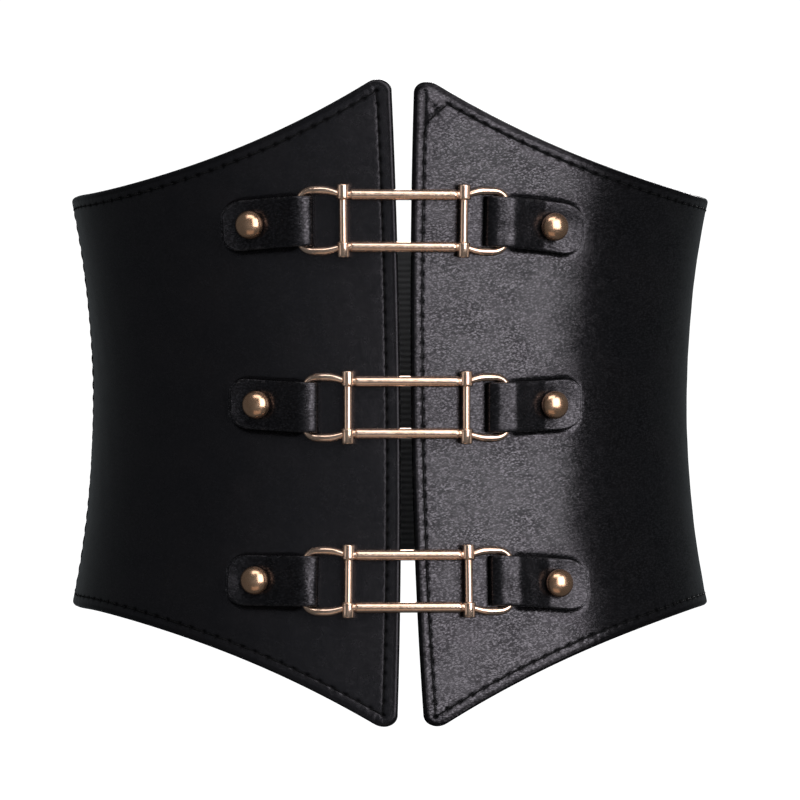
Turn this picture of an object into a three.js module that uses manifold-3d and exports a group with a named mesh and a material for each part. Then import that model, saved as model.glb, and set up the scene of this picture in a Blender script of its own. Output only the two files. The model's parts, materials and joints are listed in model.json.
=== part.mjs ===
// Corset belt: two pointed leather front panels, joined across the front by three cast links.
// Each link is held by two folded leather tabs, each tab by one domed stud. An elastic band closes the back.
// Millimetres, +Z up, +X to the right of someone facing the belt, the front of the belt towards -Y.
// The origin is the middle of the waist: the centre of the loop, at its narrowest height.

import * as THREE from 'three';
import { mergeVertices } from 'three/addons/utils/BufferGeometryUtils.js';
import Module from 'manifold-3d';

const wasm = await Module();
wasm.setup();

// Loop of the worn belt, on the outer face of the leather
const waistWidth = 214.8;
const waistDepth = 168;
const loopSquareness = 2.4;
const flareHeight = 70;
const sideFlare = 7;
const frontFlare = 2;
const prowRise = 2.1;
const prowLength = 20;

// Leather front panels, with heights measured from the waist
const leatherWall = 2.6;
const tipHeightUp = 112.8;
const tipHeightDown = 112.8;
const sideHeightUp = 73.8;
const sideHeightDown = 72;
const sweepLength = 124;
const topSweepPower = 1.97;
const bottomSweepPower = 1.87;
const panelReach = 158;
const frontGap = 3.8;
const frontGapTop = 7.8;
const frontGapBottom = 9.2;
const gapLean = 0.012;
const tipRounding = 8;
const tipRoundness = 1.72;
const endRounding = 3;
const endRoundness = 2;
const rimRounding = 0.9;

// Elastic back band
const bandHeight = 120;
const bandWall = 1.6;
const bandTuck = 12;
const bandRim = 0.4;

// Cast links
const rowPitch = 61.2;
const postSpacing = 39.5;
const rodSpacing = 17.7;
const rodDiameter = 3.3;
const postDiameter = 2.6;
const collarDiameter = 3.7;
const collarLength = 5.3;
const collarBeyond = 0.67;
const wireDiameter = 2.5;
const bowReach = 14.8;

// Folded leather tabs
const tabWidth = 17.2;
const tabLeather = 1.3;
const tabSlope = 9;
const tabEndRadius = 6.2;
const studFromPost = 30.8;
const driftPower = 1.5;

// Domed studs
const domeDiameter = 9.2;
const domeHeight = 4.3;
const domeFoot = 0.88;
const domeBelly = 0.24;
const shankDiameter = 3.2;
const backCapDiameter = 8;
const backCapHeight = 0.9;

// Clearances
const layGap = 0.3;
const rodGap = 0.5;
const bandGap = 0.5;
const wireGap = 0.5;
const holeGap = 0.3;

// The rows of links: height in row pitches, sideways shift in post spacings,
// and how far the leather leads each stud off the row's line, in tab widths
const rows = [
  { name: 'top', height: 1.018, shift: -0.027, studRise: { left: -0.07, right: -0.09 } },
  { name: 'middle', height: -0.018, shift: 0.005, studRise: { left: 0.055, right: 0.05 } },
  { name: 'bottom', height: -0.982, shift: 0.015, studRise: { left: 0.006, right: -0.07 } },
];

// The two sides: direction of X, how much higher the tip stands in tip heights, and how far a tab's fold
// reaches ahead of the bar and its end past the stud, in tab widths
const sides = [
  { name: 'left', hand: -1, tipRise: 0.009, foldReach: 0.3, endReach: 0.6 },
  { name: 'right', hand: 1, tipRise: -0.004, foldReach: 0.5, endReach: 0.63 },
];

// Centre line of a link's bow, from the post to the bar: reach in bow reaches, height in bow half heights,
// and sink as the share of its way down to the leather
const bowLine = [
  { reach: 0, height: 0.83, sink: 0 },
  { reach: 0.2, height: 0.93, sink: 0.25 },
  { reach: 0.38, height: 0.99, sink: 0.5 },
  { reach: 0.56, height: 1, sink: 0.78 },
  { reach: 0.76, height: 0.98, sink: 0.95 },
  { reach: 0.9, height: 0.87, sink: 1 },
  { reach: 0.98, height: 0.64, sink: 1 },
  { reach: 1, height: 0.34, sink: 1 },
];

// Nose of a folded tab, from above to below: reach in shares of its lead on the bar, height in crest heights.
// The lead also gives where the nose meets the panel, and the slope where the room inside the fold ends.
const noseUnder = 0.4;
const foldRoom = 0.6;
const noseLine = [
  { reach: 0.5, height: 1 },
  { reach: 0.08, height: 0.78 },
  { reach: 0, height: 0.48 },
  { reach: 0.12, height: 0.2 },
];

// Grid lines of a panel: along in shares of its length, up in shares of its height
const panelAlong = [0, 0.022, 0.047, 0.075, 0.135, 0.2, 0.27, 0.34, 0.41, 0.48, 0.55, 0.62, 0.69, 0.76, 0.83,
  0.9, 0.94, 0.98, 1];
const panelUp = [0, 0.014, 0.031, 0.052, 0.16, 0.29, 0.43, 0.57, 0.71, 0.84, 0.948, 0.969, 0.986, 1];

// Facets round the metal parts
const roundSides = 8;
const domeSides = 12;
const bowSteps = 26;
const bandSteps = 32;
const bandRows = 7;
const foldSteps = 15;
const endSteps = 4;
const domeSteps = 5;

const leather = { color: 0x222225, roughness: 0.42, metalness: 0 };
const elastic = { color: 0x131315, roughness: 0.85, metalness: 0 };
const gold = { color: 0xdcb184, roughness: 0.2, metalness: 1 };

// Sizes worked out from the ones above, as heights off the panels' outer face
const tabStackTop = layGap + 2 * tabLeather;
const barLift = layGap + tabLeather + layGap + wireDiameter / 2;
const crestHeight = barLift + wireDiameter / 2 + layGap + tabLeather;
const bowHalfHeight = tabWidth / 2 + wireGap + wireDiameter / 2;

// Waist loop

function loopRadius(angle, z) {
  const flare = (z / flareHeight) ** 2;
  const halfWidth = waistWidth / 2 + sideFlare * flare;
  const halfDepth = waistDepth / 2 + frontFlare * flare;
  const across = Math.abs(Math.sin(angle) / halfWidth) ** loopSquareness;
  const along = Math.abs(Math.cos(angle) / halfDepth) ** loopSquareness;
  return (across + along) ** (-1 / loopSquareness);
}

// The stiff fronts of the panels meet in a slight ridge, which dies away to both sides
function prowAt(angle) {
  return prowRise * Math.exp((-Math.abs(angle) * waistDepth) / 2 / prowLength);
}

function loopPoint(angle, z) {
  const radius = loopRadius(angle, z) + prowAt(angle);
  return new THREE.Vector3(radius * Math.sin(angle), -radius * Math.cos(angle), z);
}

// Length round the waist from the front centre, kept for every small step of the angle
const arcSteps = 720;
const arcLengths = [0];
for (let i = 1; i <= arcSteps; i += 1) {
  const here = loopPoint((2 * Math.PI * i) / arcSteps, 0);
  const before = loopPoint((2 * Math.PI * (i - 1)) / arcSteps, 0);
  arcLengths.push(arcLengths[i - 1] + here.distanceTo(before));
}
const waistLength = arcLengths[arcSteps];

function angleAt(length) {
  const wanted = Math.abs(length);
  let i = 1;
  while (i < arcSteps && arcLengths[i] < wanted) i += 1;
  const share = (wanted - arcLengths[i - 1]) / (arcLengths[i] - arcLengths[i - 1]);
  return (Math.sign(length) * 2 * Math.PI * (i - 1 + share)) / arcSteps;
}

// Direction that points out of the body at a place on the loop
function outward(length, z) {
  const small = 0.5;
  const along = loopPoint(angleAt(length + small), z).sub(loopPoint(angleAt(length - small), z));
  const up = loopPoint(angleAt(length), z + small).sub(loopPoint(angleAt(length), z - small));
  return along.cross(up).normalize();
}

// Point at a length round the waist, a height, and a distance out from the leather's outer face
function onBody(length, z, out) {
  return loopPoint(angleAt(length), z).addScaledVector(outward(length, z), out);
}

// The straight rods clear the ridge between their posts
const ridgeRise = onBody(postSpacing / 2, 0, 0).y - onBody(frontGap / 2, 0, 0).y;
const postLift = ridgeRise + rodGap + rodDiameter / 2;

// Meshes and solids

function geometryOf(points, triangles) {
  const geometry = new THREE.BufferGeometry();
  geometry.setAttribute('position', new THREE.Float32BufferAttribute(points.flatMap((p) => p.toArray()), 3));
  geometry.setIndex(triangles.flat());
  if (signedVolume(points, triangles) < 0) {
    geometry.setIndex(triangles.map(([a, b, c]) => [a, c, b]).flat());
  }
  return geometry;
}

function signedVolume(points, triangles) {
  let volume = 0;
  for (const [a, b, c] of triangles) {
    volume += points[a].dot(points[b].clone().cross(points[c])) / 6;
  }
  return volume;
}

function solidOf(geometry) {
  const bare = geometry.clone();
  bare.deleteAttribute('normal');
  bare.deleteAttribute('uv');
  const merged = mergeVertices(bare, 1e-4);
  return new wasm.Manifold(new wasm.Mesh({
    numProp: 3,
    vertProperties: new Float32Array(merged.attributes.position.array),
    triVerts: new Uint32Array(merged.index.array),
  }));
}

function geometryFrom(solid) {
  const mesh = solid.getMesh();
  const geometry = new THREE.BufferGeometry();
  geometry.setAttribute('position', new THREE.BufferAttribute(new Float32Array(mesh.vertProperties), 3));
  geometry.setIndex(new THREE.BufferAttribute(new Uint32Array(mesh.triVerts), 1));
  return geometry;
}

function pieceMesh(name, geometry, look) {
  geometry.computeVertexNormals();
  const mesh = new THREE.Mesh(geometry, new THREE.MeshStandardMaterial({ ...look, flatShading: true }));
  mesh.name = name;
  return mesh;
}

function rodBetween(from, to, diameter, facets = roundSides) {
  const length = from.distanceTo(to);
  const rod = new THREE.CylinderGeometry(diameter / 2, diameter / 2, length, facets);
  const turn = new THREE.Quaternion().setFromUnitVectors(
    new THREE.Vector3(0, 1, 0),
    to.clone().sub(from).normalize(),
  );
  rod.applyQuaternion(turn);
  rod.translate(...from.clone().lerp(to, 0.5).toArray());
  return rod;
}

// A wall that follows a grid: its outer and inner faces, and a rounded rim between them.
// place(column, row, inset, share) gives a point, with share 0 on the outer face and 1 on the inner one.
function wallGeometry(columns, heights, rim, place) {
  const points = [];
  const triangles = [];
  const wide = columns.length;
  const tall = heights.length;
  const faceStart = [0, wide * tall];
  for (const share of [0, 1]) {
    for (const height of heights) {
      for (const column of columns) points.push(place(column, height, rim, share));
    }
  }
  for (let row = 0; row < tall - 1; row += 1) {
    for (let column = 0; column < wide - 1; column += 1) {
      const a = row * wide + column;
      const b = a + wide;
      triangles.push([a, a + 1, b + 1], [a, b + 1, b]);
      const c = a + faceStart[1];
      const d = b + faceStart[1];
      triangles.push([c, d + 1, c + 1], [c, d, d + 1]);
    }
  }
  const border = [];
  for (let column = 0; column < wide - 1; column += 1) border.push([column, 0]);
  for (let row = 0; row < tall - 1; row += 1) border.push([wide - 1, row]);
  for (let column = wide - 1; column > 0; column -= 1) border.push([column, tall - 1]);
  for (let row = tall - 1; row > 0; row -= 1) border.push([0, row]);
  const rimStart = points.length;
  for (const [column, row] of border) points.push(place(columns[column], heights[row], 0, 0.5));
  border.forEach(([column, row], i) => {
    const next = (i + 1) % border.length;
    const [nextColumn, nextRow] = border[next];
    const outer = row * wide + column;
    const outerNext = nextRow * wide + nextColumn;
    const rimHere = rimStart + i;
    const rimNext = rimStart + next;
    triangles.push([outer, rimHere, rimNext], [outer, rimNext, outerNext]);
    const inner = outer + faceStart[1];
    const innerNext = outerNext + faceStart[1];
    triangles.push([rimHere, inner, innerNext], [rimHere, innerNext, rimNext]);
  });
  return geometryOf(points, triangles);
}

// Leather panels

// How far a panel's front edge is from the front centre: the gap widens to both ends and leans a little
function frontEdgeAt(z, side) {
  const end = z > 0 ? frontGapTop : frontGapBottom;
  const tip = z > 0 ? tipHeightUp : tipHeightDown;
  const gap = frontGap + (end - frontGap) * (z / tip) ** 2;
  return gap / 2 - side.hand * gapLean * z;
}

// The slanted edges fall away from the tips in a curve, and run level once the sweep is over
function edgeShare(along, power) {
  return Math.max(0, 1 - (along * panelReach) / sweepLength) ** power;
}

function topEdge(along, side) {
  const tip = tipHeightUp * (1 + side.tipRise);
  return sideHeightUp + (tip - sideHeightUp) * edgeShare(along, topSweepPower);
}

function bottomEdge(along) {
  return -(sideHeightDown + (tipHeightDown - sideHeightDown) * edgeShare(along, bottomSweepPower));
}

// Pulls a point near a sharp corner onto a round one. Both distances run in from the edges,
// and a roundness of 2 gives an arc in a square corner, less gives an arc in a pointed one.
function roundedCorner(fromEnd, fromEdge, radius, roundness) {
  if (fromEnd >= radius || fromEdge >= radius) return [fromEnd, fromEdge];
  const a = 1 - fromEnd / radius;
  const b = 1 - fromEdge / radius;
  const pull = Math.max(a, b) / (a ** roundness + b ** roundness) ** (1 / roundness);
  return [radius * (1 - a * pull), radius * (1 - b * pull)];
}

function panelPoint(along, up, inset, share, side) {
  const high = topEdge(along, side) - inset;
  const low = bottomEdge(along) + inset;
  const squareZ = low + (high - low) * up;
  const front = frontEdgeAt(squareZ, side) + inset;
  const back = panelReach - inset;
  const squareLength = front + (back - front) * along;
  const nearFront = squareLength - front < back - squareLength;
  const nearTop = high - squareZ < squareZ - low;
  const [fromEnd, fromEdge] = roundedCorner(
    nearFront ? squareLength - front : back - squareLength,
    nearTop ? high - squareZ : squareZ - low,
    nearFront ? tipRounding : endRounding,
    nearFront ? tipRoundness : endRoundness,
  );
  const length = nearFront ? front + fromEnd : back - fromEnd;
  const moved = (length - front) / (back - front);
  const z = nearTop ? topEdge(moved, side) - inset - fromEdge : bottomEdge(moved) + inset + fromEdge;
  return onBody(side.hand * length, z, -leatherWall * share);
}

function panel(side) {
  const wall = wallGeometry(panelAlong, panelUp, rimRounding,
    (along, up, inset, share) => panelPoint(along, up, inset, share, side));
  let solid = solidOf(wall);
  for (const row of rows) {
    solid = solid.subtract(studHole(row, side));
  }
  return pieceMesh(`panel_${side.name}`, geometryFrom(solid), leather);
}

// Elastic back band, tucked inside the ends of the panels

function backBand() {
  const start = panelReach - bandTuck;
  const span = waistLength - 2 * start;
  const columns = Array.from({ length: bandSteps + 1 }, (unused, i) => i / bandSteps);
  const heights = Array.from({ length: bandRows + 1 }, (unused, i) => i / bandRows);
  const wall = wallGeometry(columns, heights, bandRim, (along, up, inset, share) => {
    const length = start + inset + (span - 2 * inset) * along;
    const z = (bandHeight / 2 - inset) * (2 * up - 1);
    return onBody(length, z, -leatherWall - bandGap - bandWall * share);
  });
  return pieceMesh('back_band', wall, elastic);
}

// Places along a row. A reach counts outwards from the row's post on that side.

function rowHeight(row) {
  return row.height * rowPitch;
}

function rowPoint(row, side, reach, rise, out) {
  const length = row.shift * postSpacing + side.hand * (postSpacing / 2 + reach);
  return onBody(length, rowHeight(row) + rise, out);
}

// How far the tab's middle line has left the row's line, starting at the fold
function tabDrift(row, side, reach) {
  const start = bowReach - tabWidth / 4;
  const share = Math.max(0, (reach - start) / (studFromPost - start));
  return row.studRise[side.name] * tabWidth * share ** driftPower;
}

function studPlace(row, side, out) {
  return rowPoint(row, side, studFromPost, tabDrift(row, side, studFromPost), out);
}

function studHole(row, side) {
  const inner = studPlace(row, side, -leatherWall - tabWidth / 2);
  const outer = studPlace(row, side, crestHeight + tabWidth / 2);
  return solidOf(rodBetween(inner, outer, shankDiameter + 2 * holeGap));
}

// Cast links: two rods, two posts with four collars, and a bow beyond each post

function bowCurve(row, side) {
  const branch = (direction) => bowLine.map(({ reach, height, sink }) => rowPoint(
    row,
    side,
    reach * bowReach,
    direction * height * bowHalfHeight,
    postLift + (barLift - postLift) * sink,
  ));
  return new THREE.CatmullRomCurve3([...branch(1), ...branch(-1).reverse()], false, 'centripetal');
}

function bow(row, side) {
  const section = new THREE.Shape();
  for (let i = 0; i < roundSides; i += 1) {
    const angle = (2 * Math.PI * i) / roundSides;
    const corner = [Math.cos(angle), Math.sin(angle)].map((value) => (value * wireDiameter) / 2);
    if (i === 0) section.moveTo(...corner);
    else section.lineTo(...corner);
  }
  section.closePath();
  return new THREE.ExtrudeGeometry(section, { steps: bowSteps, extrudePath: bowCurve(row, side) });
}

function link(row) {
  const pieces = [];
  const collarEnd = rodSpacing / 2 + collarLength * collarBeyond;
  for (const side of sides) {
    const post = (rise) => rowPoint(row, side, 0, rise, postLift);
    pieces.push(rodBetween(post(-rodSpacing / 2), post(rodSpacing / 2), postDiameter));
    pieces.push(rodBetween(post(collarEnd), post(collarEnd - collarLength), collarDiameter));
    pieces.push(rodBetween(post(-collarEnd), post(collarLength - collarEnd), collarDiameter));
    pieces.push(bow(row, side));
  }
  for (const rise of [-rodSpacing / 2, rodSpacing / 2]) {
    const [left, right] = sides.map((side) => rowPoint(row, side, 0, rise, postLift));
    pieces.push(rodBetween(left, right, rodDiameter));
  }
  const solid = pieces.map(solidOf).reduce((joined, piece) => joined.add(piece));
  return pieceMesh(`link_${row.name}`, geometryFrom(solid), gold);
}

// Leather tabs. The side view of a tab is drawn first: reach along the row, and height off the panel.

function foldOutline(side) {
  const nose = bowReach - side.foldReach * tabWidth;
  const lead = bowReach - nose;
  const flat = bowReach + tabSlope;
  const halfWay = (flat + bowReach) / 2;
  return new THREE.SplineCurve([
    new THREE.Vector2(flat, tabStackTop),
    new THREE.Vector2(halfWay, (tabStackTop + crestHeight) / 2),
    new THREE.Vector2(bowReach + wireDiameter / 4, crestHeight),
    ...noseLine.map(({ reach, height }) => new THREE.Vector2(nose + reach * lead, height * crestHeight)),
    new THREE.Vector2(nose + lead * noseUnder, layGap),
    new THREE.Vector2(bowReach, layGap),
    new THREE.Vector2(flat, layGap),
  ]);
}

function tabOutline(side) {
  const curve = foldOutline(side);
  const outer = [];
  const inner = [];
  for (let i = 0; i <= foldSteps; i += 1) {
    const share = i / foldSteps;
    const point = curve.getPoint(share);
    const run = curve.getTangent(share);
    const inwards = new THREE.Vector2(-run.y, run.x).multiplyScalar(tabLeather);
    outer.push(point);
    inner.push(point.clone().add(inwards));
  }
  const meeting = layGap + tabLeather;
  const tunnel = inner.filter((point, i) => i > 0 && i < foldSteps && point.y > meeting + layGap / 2);
  const floorStart = Math.min(...tunnel.map((point) => point.x)) + tabLeather;
  const floorEnd = bowReach + tabSlope * foldRoom;
  const floor = [new THREE.Vector2(floorStart, meeting), new THREE.Vector2(floorEnd, meeting)];
  const end = studFromPost + side.endReach * tabWidth;
  const beyond = [studFromPost];
  for (let step = 0; step <= endSteps; step += 1) {
    beyond.push(end - tabEndRadius * (1 - Math.sin((Math.PI * step) / (2 * endSteps))));
  }
  const contour = [
    ...outer,
    ...beyond.map((reach) => new THREE.Vector2(reach, layGap)),
    ...beyond.toReversed().map((reach) => new THREE.Vector2(reach, tabStackTop)),
  ];
  return { contour, hole: [...tunnel, ...floor], end };
}

function tab(row, side) {
  const { contour, hole, end } = tabOutline(side);
  const halfWidthAt = (reach) => {
    const past = Math.max(0, reach - (end - tabEndRadius));
    return tabWidth / 2 - tabEndRadius + Math.sqrt(Math.max(0, tabEndRadius ** 2 - past ** 2));
  };
  const profile = [...contour, ...hole];
  const points = [];
  for (const edge of [-1, 1]) {
    for (const { x: reach, y: out } of profile) {
      const rise = tabDrift(row, side, reach) + edge * halfWidthAt(reach);
      points.push(rowPoint(row, side, reach, rise, out));
    }
  }
  const triangles = [];
  const skip = profile.length;
  for (const [a, b, c] of THREE.ShapeUtils.triangulateShape(contour, [hole])) {
    triangles.push([a, b, c], [a + skip, c + skip, b + skip]);
  }
  const walls = [[0, contour], [contour.length, hole]];
  for (const [start, ring] of walls) {
    const direct = THREE.ShapeUtils.isClockWise(ring) === (start > 0);
    ring.forEach((unused, i) => {
      const a = start + i;
      const b = start + ((i + 1) % ring.length);
      const quad = [[a, b + skip, b], [a, a + skip, b + skip]];
      triangles.push(...(direct ? quad : quad.map(([p, q, r]) => [p, r, q])));
    });
  }
  const solid = solidOf(geometryOf(points, triangles)).subtract(studHole(row, side));
  return pieceMesh(`tab_${side.name}_${row.name}`, geometryFrom(solid), leather);
}

// Studs: a ball-like dome over the tab, a shank through tab and panel, and a flat cap inside

function stud(row, side) {
  const seat = tabStackTop + layGap;
  const capTop = -leatherWall - layGap;
  const radius = domeDiameter / 2;
  const profile = [
    new THREE.Vector2(0, capTop - backCapHeight),
    new THREE.Vector2(backCapDiameter / 2, capTop - backCapHeight),
    new THREE.Vector2(backCapDiameter / 2, capTop),
    new THREE.Vector2(shankDiameter / 2, capTop),
    new THREE.Vector2(shankDiameter / 2, seat),
    new THREE.Vector2(radius * domeFoot, seat),
  ];
  const belly = domeHeight * domeBelly;
  for (let i = 0; i <= domeSteps; i += 1) {
    const angle = (Math.PI * i) / (2 * domeSteps);
    const away = i === domeSteps ? 0 : radius * Math.cos(angle);
    profile.push(new THREE.Vector2(away, seat + belly + (domeHeight - belly) * Math.sin(angle)));
  }
  const mesh = pieceMesh(`stud_${side.name}_${row.name}`, new THREE.LatheGeometry(profile, domeSides), gold);
  const foot = studPlace(row, side, 0);
  mesh.position.copy(foot);
  mesh.quaternion.setFromUnitVectors(
    new THREE.Vector3(0, 1, 0),
    studPlace(row, side, 1).sub(foot).normalize(),
  );
  return mesh;
}

const belt = new THREE.Group();
belt.add(backBand());
for (const side of sides) belt.add(panel(side));
for (const row of rows) {
  belt.add(link(row));
  for (const side of sides) belt.add(tab(row, side), stud(row, side));
}

export default belt;
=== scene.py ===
import json
import math

import bpy
import numpy as np
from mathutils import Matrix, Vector

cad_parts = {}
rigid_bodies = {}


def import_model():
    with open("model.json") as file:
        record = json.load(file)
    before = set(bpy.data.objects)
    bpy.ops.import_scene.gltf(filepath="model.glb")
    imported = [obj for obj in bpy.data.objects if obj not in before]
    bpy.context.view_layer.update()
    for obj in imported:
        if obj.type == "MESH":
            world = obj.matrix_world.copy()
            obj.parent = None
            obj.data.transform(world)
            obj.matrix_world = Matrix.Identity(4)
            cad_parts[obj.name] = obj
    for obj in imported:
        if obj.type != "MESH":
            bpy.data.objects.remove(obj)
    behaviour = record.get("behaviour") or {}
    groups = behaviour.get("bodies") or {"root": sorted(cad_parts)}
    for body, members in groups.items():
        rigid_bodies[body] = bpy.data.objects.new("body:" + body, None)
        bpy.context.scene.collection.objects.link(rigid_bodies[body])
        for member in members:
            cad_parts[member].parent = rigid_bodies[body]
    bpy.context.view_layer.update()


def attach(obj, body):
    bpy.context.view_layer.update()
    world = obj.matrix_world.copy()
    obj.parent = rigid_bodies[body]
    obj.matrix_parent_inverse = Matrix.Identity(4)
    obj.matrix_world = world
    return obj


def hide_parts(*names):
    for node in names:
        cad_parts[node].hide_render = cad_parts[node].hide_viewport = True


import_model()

# Corset belt: leather panels, folded tabs, cast links, studs, stitching and the elastic back.
# Sizes are millimetres, as in the part's source. A place on the belt is a length round the waist
# from the front centre, a height above the waist, and a distance out from the leather's outer face.
MM = 0.001

# Loop of the worn belt
WAIST_WIDTH = 214.8
WAIST_DEPTH = 168
LOOP_SQUARENESS = 2.4
FLARE_HEIGHT = 70
SIDE_FLARE = 7
FRONT_FLARE = 2
PROW_RISE = 2.1
PROW_LENGTH = 20
ARC_STEPS = 720

# Leather panels
LEATHER_WALL = 2.6
TIP_HEIGHT = 112.8
SIDE_HEIGHT_UP = 73.8
SIDE_HEIGHT_DOWN = 72
SWEEP_LENGTH = 124
TOP_SWEEP_POWER = 1.97
BOTTOM_SWEEP_POWER = 1.87
PANEL_REACH = 158
FRONT_GAP = 3.8
FRONT_GAP_TOP = 7.8
FRONT_GAP_BOTTOM = 9.2
GAP_LEAN = 0.012
TIP_ROUNDING = 7.4
TIP_ROUNDNESS = 1.72
END_ROUNDING = 3
END_ROUNDNESS = 2
RIM_ROUNDING = 0.95
OUTLINE_STEPS = 120
PANEL_GRID = (7, 0.34, 1.0)

# Elastic back band
BAND_HEIGHT = 120
BAND_WALL = 1.6
BAND_TUCK = 12
BAND_RIM = 0.4
BAND_GAP = 0.5
RIB_PITCH = 2.2
RIB_HEIGHT = 0.16
SELVEDGE = 4.4
BAND_SAG = 0.12
BAND_SAG_WAVE = 45
BAND_SEED = 31
TUCKED_RIBS = 0.35
RIBS_RISE_FROM = -1
RIBS_RISE_TO = 6
BAND_PRESS = 0.25
BAND_PRESS_WIDTH = 1.2
BAND_COLUMNS = 120
BAND_GRID = 0.44

# Cast links
ROW_PITCH = 61.2
POST_SPACING = 39.5
ROD_SPACING = 17.7
ROD_DIAMETER = 3.7
ROD_GAP = 0.5
POST_DIAMETER = 2.9
COLLAR_DIAMETER = 4.3
COLLAR_LENGTH = 5.3
COLLAR_BEYOND = 0.67
WIRE_DIAMETER = 2.5
WIRE_GAP = 0.5
BOW_REACH = 14.8
NECK_START = 0.25
ROD_END = [(0.45, 0.9), (0.75, 1), (1.2, 1)]
NECK_SHARE = 0.8
LINK_SIDES = 32
POST_SIDES = 28
WIRE_SIDES = 24
BOW_STEPS = 8

# A collar's profile: places from its far end, or from its near end where they are negative,
# and how far its radius is past half its diameter
COLLAR_FORM = [(0, -0.35), (0.12, -0.12), (0.35, 0), (-1.1, 0), (-0.95, 0.14), (-0.4, 0.14),
               (-0.15, -0.05)]
COLLAR_LIP = 0.1

# Folded tabs
TAB_WIDTH = 17.2
TAB_LEATHER = 1.3
TAB_SLOPE = 13
TAB_END_RADIUS = 6.2
STUD_FROM_POST = 30.8
DRIFT_POWER = 1.5
TAB_RIM = 0.35
LAY_GAP = 0.3
LAYER_STEP = 1.1
LEATHER_SHARE = 0.97
FOLD_STEPS = 12
FOLD_STEP = 0.5
TAB_END_STEPS = 14
TAB_COLUMN = 0.6
TAB_GRID = (1.6, 0.3, 0.6)
TAB_EDGE_SINK = 0.18
TAB_EDGE_WIDTH = 0.8
TAB_WAVE_HEIGHT = 0.07
TAB_WAVE = 9
UPPER_SHARE = 0.55

# Domed studs, and how the leather gives under them
DOME_DIAMETER = 9.6
DOME_HEIGHT = 4.3
DOME_BELLY = 0.24
SHANK_DIAMETER = 3.2
BACK_CAP_DIAMETER = 8
BACK_CAP_HEIGHT = 0.9
DOME_UNDER_ANGLE = 48
DOME_UNDER_SHARE = 0.62
DOME_STEPS = 24
STUD_SIDES = 48
POLE_RADIUS = 0.01
# The cap's profile: heights, and how far its radius is past half its diameter
CAP_FORM = [(0, -0.45), (0.12, -0.15), (0.4, 0), (BACK_CAP_HEIGHT - 0.2, 0),
            (BACK_CAP_HEIGHT, -0.2)]
STUD_DENT = 1.05
DENT_RADIUS = 6.4
DENT_SHIFT = 2.2
DENT_SQUEEZE = 0.55
END_LIFT = 1.15
LIFT_SQUEEZE = 0.4
LIFT_LIMIT = 1.1
LIFT_START = -5
LIFT_END = 3
PANEL_DENT_SHARE = 0.85
PANEL_DENT_SPREAD = 1.1
TAB_PRESS = 0.55

# How far past the edge of a tab its print in the panel starts and ends
PRINT_RUN_IN = 4
PRINT_AT_END = (0.6, -0.4)
PRINT_ABOVE = (0.9, -0.3)
PRINT_BELOW = (1.6, 0.3)

# Stitching
STITCH_PITCH = 4.7
STITCH_SPACE = 0.7
THREAD_DIAMETER = 0.5
SEAM_FROM_FRONT = {"left": 4.8, "right": 3.7}
SEAM_FROM_EDGE = 3.95
SEAM_FROM_END = 4
BAND_SEAM_FROM_END = 9.5
SEAM_STEPS = 400
FRONT_SEAM_STEPS = 120
GROOVE_DEPTH = 0.07
GROOVE_WIDTH = 0.34
BAND_GROOVE_WIDTH = 0.5
HOLE_DEPTH = 0.3
HOLE_WIDTH = 0.65
BAND_HOLE_WIDTH = 0.7
HOLE_SHARPNESS = 6
THREAD_SIDES = 8
THREAD_STEPS = 9
THREAD_TAPER = 0.55
THREAD_ROUNDNESS = 0.4
STITCH_BEND = 0.6
STITCH_RISE = 0.38
INSIDE_RISE = 0.5
INSIDE_START = 0.35

# The leather between seam and rim, and the slow waves of the whole panel
STRIP_PUFF = 0.06
STRIP_CROWN = 1.4
WRINKLE_HEIGHT = 0.05
WRINKLE_PITCH = 2.7
WRINKLE_SWAY = 2.2
WRINKLE_WAVE = 9
SEAM_SINK = 0.06
SEAM_SINK_WIDTH = 2.4
SAG_HEIGHT = 0.11
SAG_WAVE = 52
LUMP_HEIGHT = 0.025
LUMP_WAVE = 13
PANEL_SEED = 5

# How dark and how wide the painted shade is in a seam's groove, in its needle holes and along the
# corner's run-up line
SEAM_DARK = 0.8
SEAM_DARK_WIDTH = 0.36
HOLE_DARK = 2.2
HOLE_DARK_WIDTH = 0.75
RUN_UP_DARK = 0.5

# The right panel's seam cuts its top corner, with a crease in the leather beyond the cut
CUT_SEAM_HEIGHT = 94.8
CUT_SEAM_LENGTH = 13.2
CORNER_CREASE = [(7, 98.7), (11.8, 102.5)]
CREASE_HEIGHT = 0.3
CREASE_WIDTH = 0.8
RUN_UP_HEIGHT = 106
RUN_UP_DEPTH = 0.2
RUN_UP_WIDTH = 0.5

# Heights in row pitches, shifts in post spacings, and the studs' rises in tab widths
ROWS = [
    {"name": "top", "height": 1.018, "shift": -0.027, "rise": {"left": -0.07, "right": -0.09}},
    {"name": "middle", "height": -0.018, "shift": 0.005, "rise": {"left": 0.055, "right": 0.05}},
    {"name": "bottom", "height": -0.982, "shift": 0.015, "rise": {"left": 0.006, "right": -0.07}},
]
SIDES = [
    {"name": "left", "hand": -1, "tip_rise": 0.009, "fold_reach": 0.3, "end_reach": 0.6},
    {"name": "right", "hand": 1, "tip_rise": 0.001, "fold_reach": 0.43, "end_reach": 0.65},
]

# A bow's wire from its post to the bar: reach in bow reaches, height in half heights, sink from
# the post's lift to the bar's, and thickness in wire diameters
BOW_LINE = [
    (0, 0.83, 0, 0.74),
    (0.2, 0.93, 0.04, 0.94),
    (0.38, 0.99, 0.16, 1.1),
    (0.56, 1, 0.42, 1.14),
    (0.76, 0.98, 0.86, 1.06),
    (0.9, 0.87, 1, 0.98),
    (0.98, 0.64, 1, 0.96),
    (1, 0.34, 1, 0.96),
]

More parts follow.
